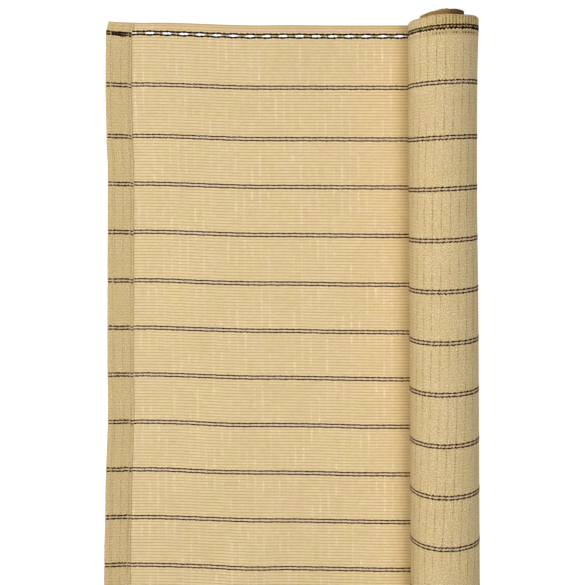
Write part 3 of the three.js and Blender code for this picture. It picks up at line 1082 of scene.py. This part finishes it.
def chain_yarn():
    """Dark brown yarn with worn places, nearly black beside the eyelets."""
    material, tree, shader = new_material("chain_yarn", 0.9, 0.0)
    spot = own_place(tree)
    fibre = grain(tree, spot, (900.0, 900.0, 900.0), 2.0)
    worn = grain(tree, spot, (260.0, 260.0, 260.0), 1.0)
    colour = blend_colour(tree, ramp(tree, worn, 0.40, 0.66), CHAIN_DARK, CHAIN_WORN)
    outer = ramp(tree, maths(tree, "ABSOLUTE", spot[1]), *BLACK_CHAINS, 0.0, 0.85)
    colour = blend_colour(tree, outer, colour, CHAIN_BLACK)
    tree.links.new(colour, shader.inputs["Base Color"])
    lift_from(tree, shader, fibre, 0.0002)
    return material


def seam_thread():
    material, tree, shader = new_material("seam_thread", 0.6, 0.3)
    twist = grain(tree, own_place(tree), (700.0, 1500.0, 700.0))
    tree.links.new(blend_colour(tree, twist, THREAD_LOW, THREAD_HIGH), shader.inputs["Base Color"])
    lift_from(tree, shader, twist, 0.0001)
    return material


def board():
    """Fibrous card with the dark seam of its spiral winding, layers at its ends, and a stain with painted
    shade at its right.
    """
    material, tree, shader = new_material("core_card", 0.8, 0.2)
    angle, y, radius = parts(tree, field(tree, "tube").outputs["Vector"])
    spot = own_place(tree)
    helix = maths(tree, "ADD", scaled(tree, angle, 1 / (2 * math.pi)), scaled(tree, y, 1 / SPIRAL_PITCH))
    seam = ramp(tree, distance(tree, maths(tree, "FRACT", helix), 0.5), *SPIRAL_SEAM)
    ply = maths(tree, "SINE", scaled(tree, radius, 2 * math.pi / PLY))
    inside = both(tree, ramp(tree, radius, *PLIES_START), ramp(tree, radius, *PLIES_END))
    layers = both(tree, inside, ramp(tree, ply, -0.2, 0.8, 0.0, 0.6))
    fibre = grain(tree, spot, (260.0, 900.0, 260.0), 4.0)
    cloud = grain(tree, spot, (45.0, 60.0, 45.0), 2.0)
    grime = grain(tree, spot, (420.0, 420.0, 420.0), 1.0)
    grime = both(tree, ramp(tree, grime, 0.56, 0.66), ramp(tree, spot[0], *GRIME_SIDE))
    dark = maths(tree, "MAXIMUM", scaled(tree, seam, 0.8), layers)
    dark = maths(tree, "MAXIMUM", dark, scaled(tree, grime, 0.9))
    base = coats(
        tree,
        blend_colour(tree, ramp(tree, fibre, 0.3, 0.7), BOARD_LOW, BOARD_HIGH),
        (ramp(tree, cloud, 0.4, 0.7, 0.0, 0.4), BOARD_LOW),
        # Stain and painted shade, darker towards the tube's right side
        (ramp(tree, spot[0], *STAIN_AND_SHADE_SIDE, 0.0, 0.85), BOARD_STAIN_AND_SHADE),
        (dark, BOARD_SEAM),
    )
    tree.links.new(base, shader.inputs["Base Color"])
    lift_from(tree, shader, maths(tree, "SUBTRACT", fibre, dark), 0.0002)
    return material


cloth = [front_knit(), reverse_knit()]
flat_piece = net_flat(cloth)
top_piece = selvedge("selvedge_top", 1, cloth)
bottom_piece = selvedge("selvedge_bottom", -1, cloth)
turn_piece = net_turn(cloth)
wound_piece = net_wound(cloth)
yarn = [chain_yarn()]
chains = chain_pieces(yarn) + [hem_tangle(yarn)]
seam_piece = hem_seam([seam_thread()])
core_piece = core_board([board()])

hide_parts("net_panel")
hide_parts("eyelet_band_top")
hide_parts("eyelet_band_bottom")
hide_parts("net_roll")
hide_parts("net_roll")
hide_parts("core_tube")

# Floor, light and camera. The photograph is IMAGE pixels square; the lens looks straight down on AXIS_ROW
CAMERA_X = AXIS.x - 0.2067
CAMERA_Y = WIDTH / 2 - 0.1987
CAMERA_HEIGHT = 1.22
CAMERA_NEAR = 0.05
SENSOR = 36
IMAGE = 585
PIXELS_A_METRE = 703.8
AXIS_ROW = 165.8
FLOOR_HALF = 6.0
FLOOR_DROP = 0.0001
FLOOR_GLOW = 0.80

# Each lamp's name, place, target, size and power
LAMPS = (
    ("overhead", (0.25, 0.1, 2.2), (0.15, 0.1, 0), 0.8, 18),
    ("right", (0.75, -0.2, 2.2), (0.15, 0.0, 0), 1.0, 11),
    ("left", (-1.4, 0.2, 1.9), (0.1, 0.1, 0), 1.3, 25),
    ("far_left", (-1.7, 1.3, 1.3), (0.1, 0.1, 0), 1.2, 14),
)


def floor():
    corners = np.array([[-1, -1, 0], [1, -1, 0], [1, 1, 0], [-1, 1, 0]]) * FLOOR_HALF
    mesh = bpy.data.meshes.new("floor")
    mesh.from_pydata((corners - [0, 0, FLOOR_DROP]).tolist(), [], [(0, 1, 2, 3)])
    material, _, shader = new_material("floor_paper", 0.9, 0.1)
    shader.inputs["Base Color"].default_value = FLOOR_GREY
    shader.inputs["Emission Color"].default_value = WHITE
    shader.inputs["Emission Strength"].default_value = FLOOR_GLOW
    mesh.materials.append(material)
    piece = bpy.data.objects.new("floor", mesh)
    bpy.context.scene.collection.objects.link(piece)


def area_light(name, place, target, size, power):
    lamp = bpy.data.lights.new(name, "AREA")
    lamp.shape = "SQUARE"
    lamp.size = size
    lamp.energy = power
    piece = bpy.data.objects.new(name, lamp)
    piece.location = place
    aim = Vector(target) - Vector(place)
    piece.rotation_euler = aim.to_track_quat("-Z", "Y").to_euler()
    bpy.context.scene.collection.objects.link(piece)


def light():
    world = bpy.data.worlds.new("studio")
    world.use_nodes = True
    world.node_tree.nodes["Background"].inputs["Color"].default_value = WHITE
    world.node_tree.nodes["Background"].inputs["Strength"].default_value = 0.0
    bpy.context.scene.world = world
    for lamp in LAMPS:
        area_light(*lamp)
    bpy.context.scene.view_settings.view_transform = "Standard"


def camera():
    lens = bpy.data.cameras.new("camera")
    lens.sensor_width = SENSOR
    lens.lens = SENSOR * PIXELS_A_METRE * CAMERA_HEIGHT / IMAGE
    lens.shift_y = -(IMAGE / 2 - AXIS_ROW) / IMAGE
    lens.clip_start = CAMERA_NEAR
    piece = bpy.data.objects.new("camera", lens)
    piece.location = (CAMERA_X, CAMERA_Y, CAMERA_HEIGHT)
    bpy.context.scene.collection.objects.link(piece)
    bpy.context.scene.camera = piece


floor()
light()
camera()
